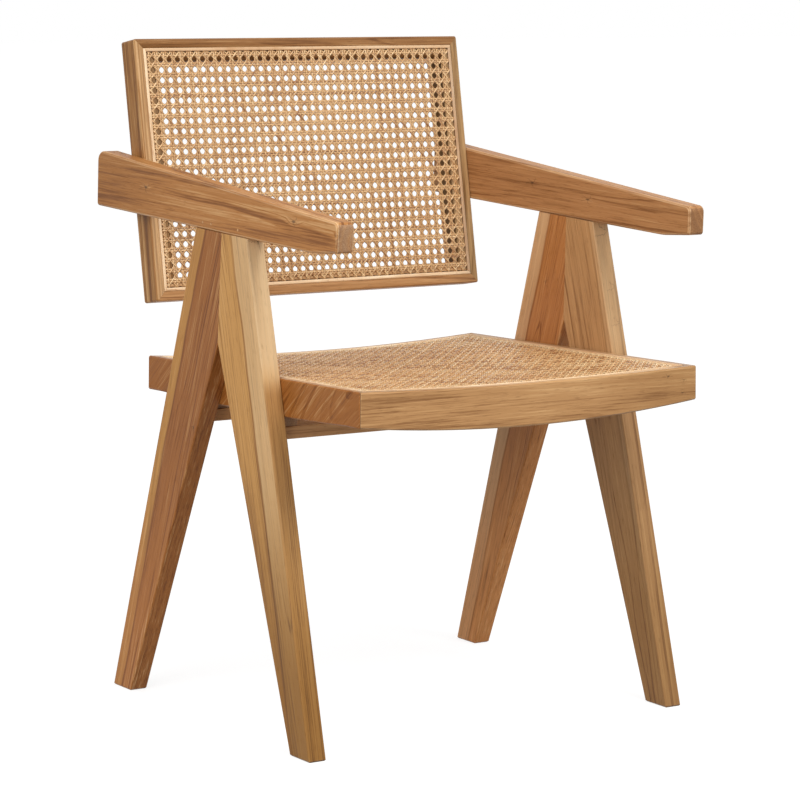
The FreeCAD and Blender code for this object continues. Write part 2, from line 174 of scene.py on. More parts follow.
photoCamera = {
    "place": (-2.46969, -3.41114, 1.04140),
    "yaw": 35.955,
    "pitch": -9.069,
    "roll": 1.736,
    "focalShare": 3462.25 / 800,  # focal length, out of the picture's width
    "sensor": 36,
    "nearest": 0.1,
    "farthest": 50,
}


def makeCamera():
    yaw, pitch, roll = (math.radians(photoCamera[name]) for name in ("yaw", "pitch", "roll"))
    forward = Vector((math.sin(yaw) * math.cos(pitch), math.cos(yaw) * math.cos(pitch), math.sin(pitch)))
    level = Vector((math.cos(yaw), -math.sin(yaw), 0))
    raised = level.cross(forward)
    right = level * math.cos(roll) + raised * math.sin(roll)
    up = raised * math.cos(roll) - level * math.sin(roll)
    turn = Matrix((right, up, -forward)).transposed().to_4x4()
    data = bpy.data.cameras.new("photoCamera")
    data.sensor_width = photoCamera["sensor"]
    data.lens = photoCamera["sensor"] * photoCamera["focalShare"]
    data.clip_start = photoCamera["nearest"]
    data.clip_end = photoCamera["farthest"]
    camera = addObject("photoCamera", data)
    camera.matrix_world = Matrix.Translation(photoCamera["place"]) @ turn
    bpy.context.scene.camera = camera


studio = {
    "ambient": 0.62,
    "lamps": {
        # name: place, aimed at, size, watts
        "keyLamp": ((0.4, -2.2, 2.85), (0, 0, 0.4), 1.5, 55),
        "fillLamp": ((-3.0, -1.3, 1.9), (0, 0, 0.4), 2.4, 53),
    },
    "floorHalf": 12,  # half of the floor's width
    "floorUnseen": 0.34,  # reflected by the floor on to the chair
    "floorSeen": 0.30,  # reflected part of the floor's own white
    "floorGlow": 0.82,
}


def makeLamps():
    for name, (place, aim, size, watts) in studio["lamps"].items():
        data = bpy.data.lights.new(name, "AREA")
        data.shape = "DISK"
        data.size = size
        data.energy = watts
        lamp = addObject(name, data)
        lamp.location = place
        lamp.rotation_euler = (Vector(aim) - Vector(place)).to_track_quat("-Z", "Y").to_euler()


# One where the background is seen, straight or in a reflection
def seenRays(tree):
    path = tree.nodes.new("ShaderNodeLightPath").outputs
    straight = calculate(tree, "MAXIMUM", path["Is Camera Ray"], path["Is Glossy Ray"])
    return calculate(tree, "MAXIMUM", straight, path["Is Transmission Ray"])


# One shader where the background is seen, and another for the light on the chair
def splitShaders(tree, unseen, seen):
    inputs = {0: seenRays(tree), 1: unseen.outputs[0], 2: seen.outputs[0]}
    return addNode(tree, "ShaderNodeMixShader", None, inputs).outputs[0]


def makeWorld():
    world = bpy.data.worlds.new("studioWorld")
    bpy.context.scene.world = world
    world.use_nodes = True
    tree = world.node_tree
    tree.nodes.clear()
    pale = (1, 1, 1, 1)
    ambient = addNode(tree, "ShaderNodeBackground", None, {"Color": pale, "Strength": studio["ambient"]})
    white = addNode(tree, "ShaderNodeBackground", None, {"Color": pale, "Strength": 1})
    addNode(tree, "ShaderNodeOutputWorld", None, {"Surface": splitShaders(tree, ambient, white)})


def makeFloor():
    bm = bmesh.new()
    bmesh.ops.create_grid(bm, x_segments=1, y_segments=1, size=studio["floorHalf"])
    mesh = meshFrom(bm, "studioFloor")
    floor = addObject("studioFloor", mesh)
    material = bpy.data.materials.new("paleFloor")
    material.use_nodes = True
    tree = material.node_tree
    tree.nodes.clear()
    grey, dim = studio["floorSeen"], studio["floorUnseen"]
    matt = addNode(tree, "ShaderNodeBsdfDiffuse", None, {"Color": (dim, dim, dim, 1)})
    shown = addNode(tree, "ShaderNodeBsdfDiffuse", None, {"Color": (grey, grey, grey, 1)})
    glow = addNode(tree, "ShaderNodeEmission", None, {"Strength": studio["floorGlow"]})
    seen = addNode(tree, "ShaderNodeAddShader", None, {0: shown.outputs[0], 1: glow.outputs[0]})
    addNode(tree, "ShaderNodeOutputMaterial", None, {"Surface": splitShaders(tree, matt, seen)})
    mesh.materials.append(material)


bpy.context.scene.view_settings.view_transform = "Standard"
makeCamera()
makeLamps()
makeWorld()
makeFloor()
print("studio made")

# Shared effects

effectOutputs = {"Color": "Color", "Roughness": "Float", "Height": "Float"}

# A noise is its scale in metres, along a board and across it both ways, its detail and its roughness
# A range is a step's low and high ends, some with the values there
teakEffect = {
    "seedShifts": (1.7, 3.1, 5.3),
    "seedYears": 7,
    "bandDetail": 3,
    "wanderNoise": ((2.2, 10, 10), 2),
    "streakNoise": ((3, 170, 170), 3, 0.65),
    "fibreNoise": ((11, 470, 470), 3, 0.7),
    "cloudNoise": ((2.6, 20, 20), 3),
    "poreNoise": ((60, 1100, 1100), 1),
    "poreRange": (0.62, 0.72),
    "rimYears": 0.5,
    "rimDetail": 1,
    "rimRange": (0.028, 0.004),
    "rimClouds": (0.4, 0.6, 0.1, 1),
    # how much each pattern sways the wood's tone
    "bandShare": 0.4,
    "streakShare": 0.75,
    "fibreShare": 1.35,
    "cloudShare": 0.9,
    "rimShare": 0.42,
    "sapStreaks": (0.25, 0.7, 0.68, 0.95),
    "lineClouds": (0.3, 0.6, 0.35, 0.9),
    "poreShare": 0.4,
    "dimTint": (0.42, 0.33, 0.26, 1),
    "dotNoise": ((30, 800, 800), 2, 0.7),
    "dotRange": (0.3, 0.7),
    "dotTint": (0.66, 0.6, 0.54, 1),
    "cutRings": (0.4, 0.65),
    "cutRingShare": 0.45,
    "cutShare": 0.85,
    "coreShare": 0.9,
    "coreColour": (0.045, 0.022, 0.011, 1),
    # rounded edges are worn and paler with a painted highlight; lit faces and ledges get painted light
    "wearLightStreaks": (0.3, 0.65, 0.15, 0.8),
    "wearLightTint": (1.28, 1.25, 1.2, 1),
    "wearLightSapwood": 0.55,
    "seamShare": 0.75,
    "seamColour": (0.05, 0.022, 0.009, 1),
    # painted shade under and behind the cane
    "coverShare": 0.8,
    "shadeTint": (0.22, 0.16, 0.11, 1),
    "shadeRampShares": (0.38, 0.44, 0.56),  # of red, green and blue, taken away by a full ramp of painted shade
    "rough": 0.36,
    "roughStreaks": 0.22,
    "roughPores": 0.2,
    "roughWear": -0.07,
    "roughShade": 0.4,
    "highFibres": 0.5,
    "deepPores": 0.6,
    "deepRims": 0.3,
}


# The distance from the pith, with the grain's wander and the push of knots
def pithDistance(tree, given, place):
    bent = noise(tree, place, *teakEffect["wanderNoise"])[1]
    wander = scaled(tree, bent, joined(tree, 0, given["Wander"], given["Wander"]))
    flat = added(tree, scaled(tree, given["Place"], (0, 1, 1)), scaled(tree, given["Pith"], (0, -1, -1)))
    slope = times(tree, parted(tree, given["Place"])[0], parted(tree, given["Pith"])[0])
    distance = lengthOf(tree, added(tree, added(tree, flat, joined(tree, 0, 0, slope)), wander))
    return plus(tree, distance, given["Push"])


# The patterns that tone, roughness and relief share
def teakPatterns(tree, given):
    effect = teakEffect
    shifts = [times(tree, given["Seed"], shift) for shift in effect["seedShifts"]]
    place = added(tree, given["Place"], joined(tree, *shifts))
    years = calculate(tree, "DIVIDE", pithDistance(tree, given, place), given["Spacing"])
    years = plus(tree, years, times(tree, given["Seed"], effect["seedYears"]))
    clouds = noise(tree, place, *effect["cloudNoise"])[0]
    # a few thin dark rings, fading in and out along the board
    rings = bandNoise(tree, times(tree, years, effect["rimYears"]), effect["rimDetail"])
    rim = step(tree, calculate(tree, "ABSOLUTE", minus(tree, rings, 0.5)), *effect["rimRange"])
    pores = noise(tree, place, *effect["poreNoise"])[0]
    return {
        "bands": bandNoise(tree, years, effect["bandDetail"]),
        "streaks": noise(tree, place, *effect["streakNoise"])[0],
        "fibres": noise(tree, place, *effect["fibreNoise"])[0],
        "clouds": clouds,
        "rim": times(tree, rim, step(tree, clouds, *effect["rimClouds"])),
        "pores": step(tree, pores, *effect["poreRange"]),
        "dots": noise(tree, place, *effect["dotNoise"])[0],
    }


# The wood along its fibres
def boardColour(tree, given, patterns):
    effect = teakEffect
    tone = 0.5
    for name in ("band", "streak", "fibre", "cloud"):
        part = times(tree, minus(tree, patterns[name + "s"], 0.5), effect[name + "Share"])
        tone = plus(tree, tone, times(tree, part, given["Contrast"]))
    rim = times(tree, patterns["rim"], effect["rimShare"])
    tone = minus(tree, tone, times(tree, rim, given["Contrast"]))
    wood = mixed(tree, step(tree, tone, 0, 0.5), given["Dark"], given["Middle"])
    wood = mixed(tree, step(tree, tone, 0.5, 1), wood, given["Pale"])
    # the sapwood keeps a little of the figure under it
    sap = times(tree, given["Sap"], step(tree, patterns["streaks"], *effect["sapStreaks"]))
    wood = mixed(tree, sap, wood, given["Sapwood"])
    dim = tinted(tree, wood, effect["dimTint"])
    # the dark sapwood line, and the painted seat shadow on a leg's edge
    line = times(tree, given["Line"], step(tree, patterns["clouds"], *effect["lineClouds"]))
    wood = mixed(tree, line, wood, dim)
    return mixed(tree, times(tree, patterns["pores"], effect["poreShare"]), wood, dim)


# A cut across the fibres is duller, with rings, and open pores as dots
def cutColour(tree, given, patterns, wood):
    effect = teakEffect
    dots = step(tree, patterns["dots"], *effect["dotRange"])
    cut = mixed(tree, dots, tinted(tree, given["EndGrain"], effect["dotTint"]), given["EndGrain"])
    rings = step(tree, patterns["bands"], *effect["cutRings"])
    return mixed(tree, times(tree, rings, effect["cutRingShare"]), cut, wood)


# Teak with its pith along X: yearly rings, fibres, pores, sapwood, knots, rubbed edges and lit faces with
# painted light, painted shade under the cane and a ramp of painted shade along the board
def makeTeakGrain():
    kinds = {
        "Vector": ("Place", "Pith"),
        "Float": ("Push", "Core", "Sap", "Line", "WearAndLight", "Seam", "Fade", "End", "PaintedShade", "Seed", "Spacing",
                  "Wander", "Contrast"),
        "Color": ("Pale", "Middle", "Dark", "Sapwood", "EndGrain"),
    }
    inputs = {name: kind for kind, names in kinds.items() for name in names}
    tree, given, result = newGroup("teakGrain", inputs, effectOutputs)
    effect = teakEffect
    patterns = teakPatterns(tree, given)
    wood = boardColour(tree, given, patterns)
    cut = cutColour(tree, given, patterns, wood)
    wood = mixed(tree, times(tree, given["End"], effect["cutShare"]), wood, cut)
    wood = mixed(tree, times(tree, given["Core"], effect["coreShare"]), wood, effect["coreColour"])
    # worn edges with a painted highlight, and painted light on lit faces and ledges
    bright = mixed(tree, effect["wearLightSapwood"], tinted(tree, wood, effect["wearLightTint"]), given["Sapwood"])
    wornAndLit = times(tree, given["WearAndLight"], step(tree, patterns["streaks"], *effect["wearLightStreaks"]))
    wood = mixed(tree, wornAndLit, wood, bright)
    wood = mixed(tree, times(tree, given["Seam"], effect["seamShare"]), wood, effect["seamColour"])
    # faces under or behind the cane get painted shade
    shadeMix = times(tree, given["PaintedShade"], effect["coverShare"])
    wood = mixed(tree, shadeMix, wood, tinted(tree, wood, effect["shadeTint"]))
    # a ramp of painted shade along the board, or of painted light where negative
    fades = [minus(tree, 1, times(tree, given["Fade"], share)) for share in effect["shadeRampShares"]]
    wood = tinted(tree, wood, joined(tree, *fades))
    rough = plus(tree, effect["rough"], times(tree, patterns["streaks"], effect["roughStreaks"]))
    rough = plus(tree, rough, times(tree, patterns["pores"], effect["roughPores"]))
    rough = plus(tree, rough, times(tree, given["WearAndLight"], effect["roughWear"]))
    rough = plus(tree, rough, times(tree, given["PaintedShade"], effect["roughShade"]))
    height = times(tree, patterns["fibres"], effect["highFibres"])
    height = minus(tree, height, times(tree, patterns["pores"], effect["deepPores"]))
    height = minus(tree, height, times(tree, patterns["rim"], effect["deepRims"]))
    tree.links.new(wood, result["Color"])
    tree.links.new(rough, result["Roughness"])
    tree.links.new(height, result["Height"])
    return tree


# Distances are counted in the knot's radius, but rags are in metres
knotEffect = {
    "ragNoise": ((110, 320, 320), 2),
    "rags": (0.006, 0.003, 0),
    "stretch": (0.42, 1, 0.25),  # a knot is longer along the board
    "rayTurns": 2.5,
    "rayTwist": 0.5,
    "rayRange": (0.32, 0.05),
    "rayReach": (3.6, 0.6, 0, 0.8),
    "coreRange": (0.9, 0.3),
    "pushReach": (5, 0),
    "push": 1.3,
}


# A knot: a dark core that the rings swing round
def makeKnotMark():
    inputs = {"Place": "Vector", "Centre": "Vector"}
    inputs.update({name: "Float" for name in ("Size", "Core", "Push", "Depth")})
    tree, given, result = newGroup("knotMark", inputs, {"Core": "Float", "Push": "Float"})
    effect = knotEffect
    away = vectorMath(tree, "SUBTRACT", given["Place"], given["Centre"])[0]
    rags = noise(tree, given["Place"], *effect["ragNoise"])[1]
    away = scaled(tree, added(tree, away, scaled(tree, rags, effect["rags"])), effect["stretch"])
    distance = calculate(tree, "DIVIDE", lengthOf(tree, away), given["Size"])
    # fine cracks run out of the core like a star
    along, across, deep = parted(tree, away)
    angle = calculate(tree, "ARCTAN2", plus(tree, across, deep), along)
    turns = plus(tree, times(tree, angle, effect["rayTurns"]), times(tree, distance, effect["rayTwist"]))
    rays = step(tree, calculate(tree, "ABSOLUTE", calculate(tree, "SINE", turns)), *effect["rayRange"])
    rays = times(tree, rays, step(tree, distance, *effect["rayReach"]))
    core = calculate(tree, "MAXIMUM", step(tree, distance, *effect["coreRange"]), rays)
    core = times(tree, core, given["Depth"])
    near = step(tree, distance, *effect["pushReach"])
    push = times(tree, times(tree, near, near), times(tree, given["Size"], effect["push"]))
    tree.links.new(calculate(tree, "MAXIMUM", core, given["Core"]), result["Core"])
    tree.links.new(plus(tree, push, given["Push"]), result["Push"])
    return tree


# In metres, along a leg from its foot and across it from its edge
sapEffect = {
    "waves": 4.5,
    "waveDetail": 2,
    "waveWidth": 0.012,
    "edgeRange": (0.0026, 0.0006),
    "edgeHeights": (0.42, 0.475, 0.15, 1),
    "stripHeights": (0.1, 0.35, 0.2, 0.6),
    "border": (-0.001, 0.003),
    "lineOuter": (-0.0035, -0.0005),
    "lineInner": (0.0022, 0),
    "seatShadowTop": (0.452, 0.425),
    "seatShadowBottom": (0.15, 0.40),
    "seatShadowShare": 0.85,
}


# Pale sapwood from a leg's edge inwards along Y, the dark line where it ends, and a painted shadow of the
# seat on the edge below the seat
def makeSapEdge():
    inputs = {"Place": "Vector", "Reach": "Float", "Seed": "Float", "Strength": "Float"}
    tree, given, result = newGroup("sapEdge", inputs, {"Sap": "Float", "Line": "Float"})
    effect = sapEffect
    along, across = parted(tree, given["Place"])[:2]
    wave = plus(tree, times(tree, along, effect["waves"]), given["Seed"])
    wave = bandNoise(tree, wave, effect["waveDetail"])
    wave = times(tree, minus(tree, wave, 0.5), effect["waveWidth"])
    left = minus(tree, plus(tree, given["Reach"], wave), across)
    # the edge is palest, but only above the seat, and the sides' strip fades towards the floor
    edge = step(tree, across, *effect["edgeRange"])
    high = times(tree, edge, step(tree, along, *effect["edgeHeights"]))
    strip = times(tree, minus(tree, 1, edge), step(tree, along, *effect["stripHeights"]))
    sap = times(tree, step(tree, left, *effect["border"]), plus(tree, high, strip))
    line = times(tree, step(tree, left, *effect["lineOuter"]), step(tree, left, *effect["lineInner"]))
    # below the seat the edge gets a painted shadow of the seat, fading towards the floor
    low = times(tree, step(tree, along, *effect["seatShadowTop"]), step(tree, along, *effect["seatShadowBottom"]))
    low = times(tree, low, times(tree, edge, effect["seatShadowShare"]))
    line = calculate(tree, "MAXIMUM", line, low)
    tree.links.new(times(tree, sap, given["Strength"]), result["Sap"])
    tree.links.new(times(tree, line, given["Strength"]), result["Line"])
    return tree


# A noise's scale here is along a strand, across its half width, and from strand to strand
caneEffect = {
    "toneShift": 37,
    "lineNoise": ((30, 3.5, 1), 2, 0.6),
    "patchNoise": ((22, 1, 1), 2),
    "spotNoise": ((260, 2, 1), 1),
    "spotRange": (0.68, 0.78),
    "toneShare": 0.8,
    "patchShare": 1.2,
    "darkRange": (0.05, 0.5),
    "paleRange": (0.5, 0.95),
    "spotShare": 0.5,
    "edgeRange": (0.68, 1),
    "edgeShare": 0.55,
    "rough": 0.26,
    "roughLines": 0.2,
    "roughEdge": 0.25,
    "highCrown": 0.8,
    "highLines": 0.12,
}


# Split cane: a glossy crowned skin with fine lines along it and a few darker spots
def makeCaneSkin():
    inputs = {"Strand": "Vector", "Pale": "Color", "Middle": "Color", "Dark": "Color"}
    tree, given, result = newGroup("caneSkin", inputs, effectOutputs)
    effect = caneEffect
    across, along, tone = parted(tree, given["Strand"])
    place = joined(tree, along, across, times(tree, tone, effect["toneShift"]))
    lines = noise(tree, place, *effect["lineNoise"])[0]
    patches = noise(tree, place, *effect["patchNoise"])[0]
    spots = step(tree, noise(tree, place, *effect["spotNoise"])[0], *effect["spotRange"])
    level = plus(tree, times(tree, minus(tree, tone, 0.5), effect["toneShare"]), 0.5)
    level = plus(tree, level, minus(tree, lines, 0.5))
    level = plus(tree, level, times(tree, minus(tree, patches, 0.5), effect["patchShare"]))
    skin = mixed(tree, step(tree, level, *effect["darkRange"]), given["Dark"], given["Middle"])
    skin = mixed(tree, step(tree, level, *effect["paleRange"]), skin, given["Pale"])
    skin = mixed(tree, times(tree, spots, effect["spotShare"]), skin, given["Dark"])
    # the cut edges of a strand are darker than its skin
    edge = step(tree, calculate(tree, "ABSOLUTE", across), *effect["edgeRange"])
    skin = mixed(tree, times(tree, edge, effect["edgeShare"]), skin, given["Dark"])
    rough = plus(tree, effect["rough"], times(tree, lines, effect["roughLines"]))
    rough = plus(tree, rough, times(tree, edge, effect["roughEdge"]))
    crown = minus(tree, 1, times(tree, across, across))
    height = plus(tree, times(tree, crown, effect["highCrown"]), times(tree, lines, effect["highLines"]))
    tree.links.new(skin, result["Color"])
    tree.links.new(rough, result["Roughness"])
    tree.links.new(height, result["Height"])
    return tree


teakGrain = makeTeakGrain()
knotMark = makeKnotMark()
sapEdge = makeSapEdge()
caneSkin = makeCaneSkin()


def newMaterial(name):
    material = bpy.data.materials.new(name)
    material.use_nodes = True
    return material, material.node_tree, material.node_tree.nodes["Principled BSDF"]


# Sends an effect's colour, roughness and height to the surface's shader
def dress(tree, shader, effect, bump, distance):
    tree.links.new(effect["Color"], shader.inputs["Base Color"])
    tree.links.new(effect["Roughness"], shader.inputs["Roughness"])
    inputs = {"Strength": bump, "Distance": distance, "Height": effect["Height"]}
    relief = addNode(tree, "ShaderNodeBump", None, inputs)
    tree.links.new(relief.outputs[0], shader.inputs["Normal"])

# Teak members

metre = 1000  # in millimetres

# A board's origin is a point on one of its edges; its grain runs along, and inward points across from there
# Places, spacing and wander are in millimetres, and round, the free edges' bevel, is in metres
# pith is its slope along the board, then how far it lies inward and below; spacing is a year's growth
# knots have a place, radius and depth; sap is how far the sapwood reaches inward, and how strong it is
# the shade ramp paints shade from where to where along the board, and how much darker, or paler as painted
# light where it is negative
# the painted shade is how dark wood under the cane is painted, or where negative how much light is painted
# on it, as on a lit ledge
# the lit face is a direction whose faces get painted light, and wall one whose faces seen through the cane
# get painted shade
teakLooks = {
    "along": (1, 0, 0),
    "inward": (0, 0, 1),
    "pale": (228, 184, 130),
    "sapwood": (222, 192, 150),
    "endGrain": (168, 134, 104),
    "spacing": 5.5,
    "wander": 16,
    "contrast": 1.0,
    "pith": (0.02, 30, 70),
    "knots": (),
}
teakSurface = {
    "darkShares": (0.52, 0.44, 0.36),  # of the tone's red, green and blue
    "paleShare": 0.5,
    "bump": 0.35,
    "bumpDepth": 0.0004,
    "specular": 0.22,
}
members = {
    # the legs' ramps paint shade towards the foot, and painted light on the rear legs
    "left_front_leg": {
        "origin": (-278.8, -235.1, 0), "along": (8.8, 170.2, 586.9), "inward": (0, 1, 0),
        "tone": (202, 150, 86), "seed": 1.3, "sap": (32, 0.85), "pith": (0.03, 10, 52),
        # the second knot on this leg is a painted shadow in the gap under the arm
        "shadeRamp": (420, 50, 1.3), "knots": [(-273, -137, 370, 1.6, 0.8), (-256, -63, 588.5, 1.2, 1.0)],
    },
    "left_rear_leg": {
        "origin": (-278.8, 199.9, 0), "along": (8.8, -155.1, 588.6), "inward": (0, -1, 0),
        "tone": (154, 96, 46), "seed": 4.1, "sap": (19, 0.85), "sapwood": (216, 164, 90),
        "shadeRamp": (420, 50, -0.85), "knots": [(-273.5, 32.9, 352.1, 1.9, 0.8)],
    },
    "right_front_leg": {
        "origin": (278.8, -235.1, 0), "along": (-8.8, 170.2, 586.9), "inward": (0, 1, 0),
        "tone": (187, 141, 93), "seed": 7.7, "sap": (9, 0.4), "shadeRamp": (420, 50, 0.95),
        "knots": [(262, -67.5, 577.9, 1.7, 0.8), (264, -87, 510, 1.2, 0.6), (263, -99.7, 467, 1.2, 0.6)],
    },
    "right_rear_leg": {
        "origin": (278.8, 199.9, 0), "along": (-8.8, -155.1, 588.6), "inward": (0, -1, 0),
        "tone": (181, 119, 65), "seed": 9.2, "sap": (24, 0.8), "pith": (-0.03, 60, 34),
        "shadeRamp": (420, 50, -1.1), "wander": 30, "knots": [(247.3, 24, 503, 2.2, 0.4)],
    },
    "left_arm": {
        "origin": (-270, -249.3, 590), "along": (0, 523, 4),
        "tone": (179, 121, 65), "seed": 2.6, "pith": (0.015, 20, 40), "contrast": 1.2,
        "shadeRamp": (300, 480, 0.35), "round": 0.0020,
        "knots": [(-270, 162, 626.6, 2.6, 0.75), (-270, -158.6, 618.7, 2.4, 0.75),
                  (-270, -248, 611, 1.5, 0.6)],
    },
    "right_arm": {
        "origin": (270, -249.3, 590), "along": (0, 523, 4),
        "tone": (178, 126, 79), "seed": 5.9, "pith": (0.02, 60, 60), "endGrain": (150, 108, 72),
        "round": 0.0020, "knots": [(246, 63, 626, 2.4, 0.75), (246, -50, 615.4, 2.2, 0.75)],
    },
    "seat_front_rail": {
        "origin": (-248, -274, 393),
        "tone": (187, 140, 91), "seed": 3.4, "pith": (0.0, 20, 300), "spacing": 5.0, "contrast": 1.2,
        "wander": 10, "shadeRamp": (280, 480, 0.4), "paintedShade": -1, "litFace": (0, 0, 1),
        "knots": [(206.5, -273.5, 425.5, 1.3, 0.8), (230.8, -273.5, 419.3, 1.0, 0.8),
                  (229.6, -273.5, 404, 1.0, 0.7), (-200, -274, 412, 3.0, 0.1)],
    },
    "seat_rear_rail": {
        "origin": (-248, 181, 374), "tone": (166, 116, 68), "seed": 8.3, "paintedShade": 0, "litFace": (0, 0, 1),
    },
    "seat_left_rail": {
        "origin": (-248, -244, 390), "along": (0, -1, 0.95), "inward": (0, 0.95, 1),
        "tone": (154, 95, 41), "seed": 6.6, "pith": (0.3, 30, 30), "spacing": 7.0, "contrast": 0.9,
        "wander": 14, "paintedShade": -1, "litFace": (0, 0, 1),
    },
    "seat_right_rail": {
        "origin": (248, -244, 390), "along": (0, 1, -0.04),
        "tone": (160, 110, 65), "seed": 1.9, "paintedShade": 0, "litFace": (0, 0, 1),
    },
    "front_cross_bar": {
        "origin": (-262, -102.7, 353.3), "inward": (0, 1, 0),
        "tone": (189, 141, 94), "seed": 2.2, "contrast": 0.7,
    },
    "rear_cross_bar": {
        "origin": (-262, 42.3, 353.3), "inward": (0, 1, 0),
        "tone": (183, 132, 84), "seed": 7.1, "contrast": 0.7,
    },
    "seat_blocks": {
        "origin": (-249, -100, 368.3), "along": (0, 1, 0), "tone": (140, 98, 59), "seed": 3.9,
    },
    "back_bottom_rail": {
        "origin": (-246, 166, 484), "inward": (0, 0.2, 1),
        "tone": (178, 130, 83), "seed": 5.2, "spacing": 4.2, "paintedShade": -0.5,
    },
    "back_top_rail": {
        "origin": (-246, 230, 772), "inward": (0, 0.2, 1),
        "tone": (146, 101, 58), "seed": 6.1, "spacing": 4.0, "paintedShade": 0.1,
    },
    "back_left_stile": {
        "origin": (-246, 166, 484), "along": (0, 66.3, 316.2), "inward": (1, 0, 0),
        "tone": (155, 107, 56), "seed": 4.8, "contrast": 1.5, "paintedShade": -1, "litFace": (0, -0.979, 0.205),
    },
    "back_right_stile": {
        "origin": (246, 166, 484), "along": (0, 66.3, 316.2), "inward": (-1, 0, 0),
        "tone": (165, 129, 85), "seed": 9.9, "paintedShade": -0.3, "wall": (-1, 0, 0),
    },
}


def memberFrame(member):
    along = Vector(member["along"]).normalized()
    inward = Vector(member["inward"])
    inward = (inward - along * inward.dot(along)).normalized()
    turn = Matrix((along, inward, along.cross(inward))).transposed()
    return Matrix.Translation(Vector(member["origin"]) / metre) @ turn.to_4x4()


def teakMaterial(name, look):
    material, tree, shader = newMaterial(name + "_teak")
    matrix = memberFrame(look)
    place = turnedPlace(tree, matrix.to_translation(), matrix.to_euler())
    core, push = 0.0, 0.0
    for x, y, z, radius, depth in look["knots"]:
        centre = matrix.inverted() @ (Vector((x, y, z)) / metre)
        inputs = {"Place": place, "Centre": centre, "Size": radius / metre, "Depth": depth}
        knot = useGroup(tree, knotMark, {**inputs, "Core": core, "Push": push})
        core, push = knot["Core"], knot["Push"]
    middle = colour(*look["tone"])
    dark = tuple(part * share for part, share in zip(middle, teakSurface["darkShares"])) + (1,)
    slope, across, deep = look["pith"]
    inputs = {
        "Place": place, "Push": push, "Core": core, "Seed": look["seed"],
        "Spacing": look["spacing"] / metre,
        "Pith": (slope, across / metre, deep / metre),
        "Wander": look["wander"] / metre, "Contrast": look["contrast"],
        "Pale": toned(middle, colour(*look["pale"]), teakSurface["paleShare"]),
        "Middle": middle, "Dark": dark,
        "Sapwood": colour(*look["sapwood"]), "EndGrain": colour(*look["endGrain"]),
    }
    for socket, mark in {"End": "endGrain", "PaintedShade": "paintedShade", "WearAndLight": "wearAndLight", "Seam": "seam"}.items():
        inputs[socket] = attribute(tree, mark)
    if "shadeRamp" in look:
        near, far, amount = look["shadeRamp"]
        inputs["Fade"] = step(tree, parted(tree, place)[0], near / metre, far / metre, 0, amount)
    if "sap" in look:
        reach, strength = look["sap"]
        given = {"Place": place, "Reach": reach / metre, "Seed": look["seed"], "Strength": strength}
        sap = useGroup(tree, sapEdge, given)
        inputs["Sap"] = sap["Sap"]
        inputs["Line"] = sap["Line"]
    dress(tree, shader, useGroup(tree, teakGrain, inputs), teakSurface["bump"], teakSurface["bumpDepth"])
    shader.inputs["Specular IOR Level"].default_value = teakSurface["specular"]
    return material


# In metres and degrees; facing is the cosine of a face's angle to a direction
rounding = {
    "open": 0.0011,  # bevel of an edge that stands free
    "joint": 0.00035,  # bevel where a piece meets its neighbour
    "near": 0.0007,  # how near a neighbour makes an edge a joint
    "marks": (0.2, 0.5, 0.8),  # where along an edge a neighbour is looked for
    "parts": 3,  # of a free edge's bevel
    "profile": 0.5,
    "merge": 0.00002,
    "flatAngle": 0.1,
    "bevelAngle": 40,
    "shadeAngle": 50,
    "endFacing": 0.75,
    "litFacing": 0.95,
    "wallFacing": 0.9,
    "caneReach": 0.003,  # how near the cane lies over a face that gets painted shade
    "caneShade": 0.6,
    "wallShade": 0.75,
}


# The surfaces of some nodes, to find what lies near them
def surfaces(names):
    bm = bmesh.new()
    for name in names:
        bm.from_mesh(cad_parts[name].data)
    tree = BVHTree.FromBMesh(bm)
    bm.free()
    return tree


hard = [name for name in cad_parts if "spline" not in name and not name.endswith("_cane")]
canes = surfaces(["seat_cane", "back_cane"])


def touches(tree, edge):
    ends = [vert.co for vert in edge.verts]
    marks = [ends[0].lerp(ends[1], share) for share in rounding["marks"]]
    return sum(tree.find_nearest(mark, rounding["near"])[0] is not None for mark in marks) > 1


def sharpEdges(bm, angle):
    paired = [edge for edge in bm.edges if len(edge.link_faces) == 2]
    return [edge for edge in paired if edge.calc_face_angle_signed() > math.radians(angle)]


# Rounds the free edges, eases the joints, and marks the faces that each leaves: the joints' seams, and the
# free edges as worn with a painted highlight
def bevelEdges(bm, name, width):
    near = surfaces([other for other in hard if other != name])
    seam = bm.faces.layers.float.new("seam")
    wearAndLight = bm.faces.layers.float.new("wearAndLight")
    edges = sharpEdges(bm, rounding["bevelAngle"])
    joints = [edge for edge in edges if touches(near, edge)]
    free = [edge for edge in edges if edge not in set(joints)]
    values = {"affect": "EDGES", "profile": rounding["profile"], "material": -1, "clamp_overlap": True}
    made = bmesh.ops.bevel(bm, geom=joints, offset=rounding["joint"], segments=1, **values)
    for face in made["faces"]:
        face[seam] = 1
    free = [edge for edge in free if edge.is_valid]
    made = bmesh.ops.bevel(bm, geom=free, offset=width, segments=rounding["parts"], **values)
    for face in made["faces"]:
        face[wearAndLight] = 1


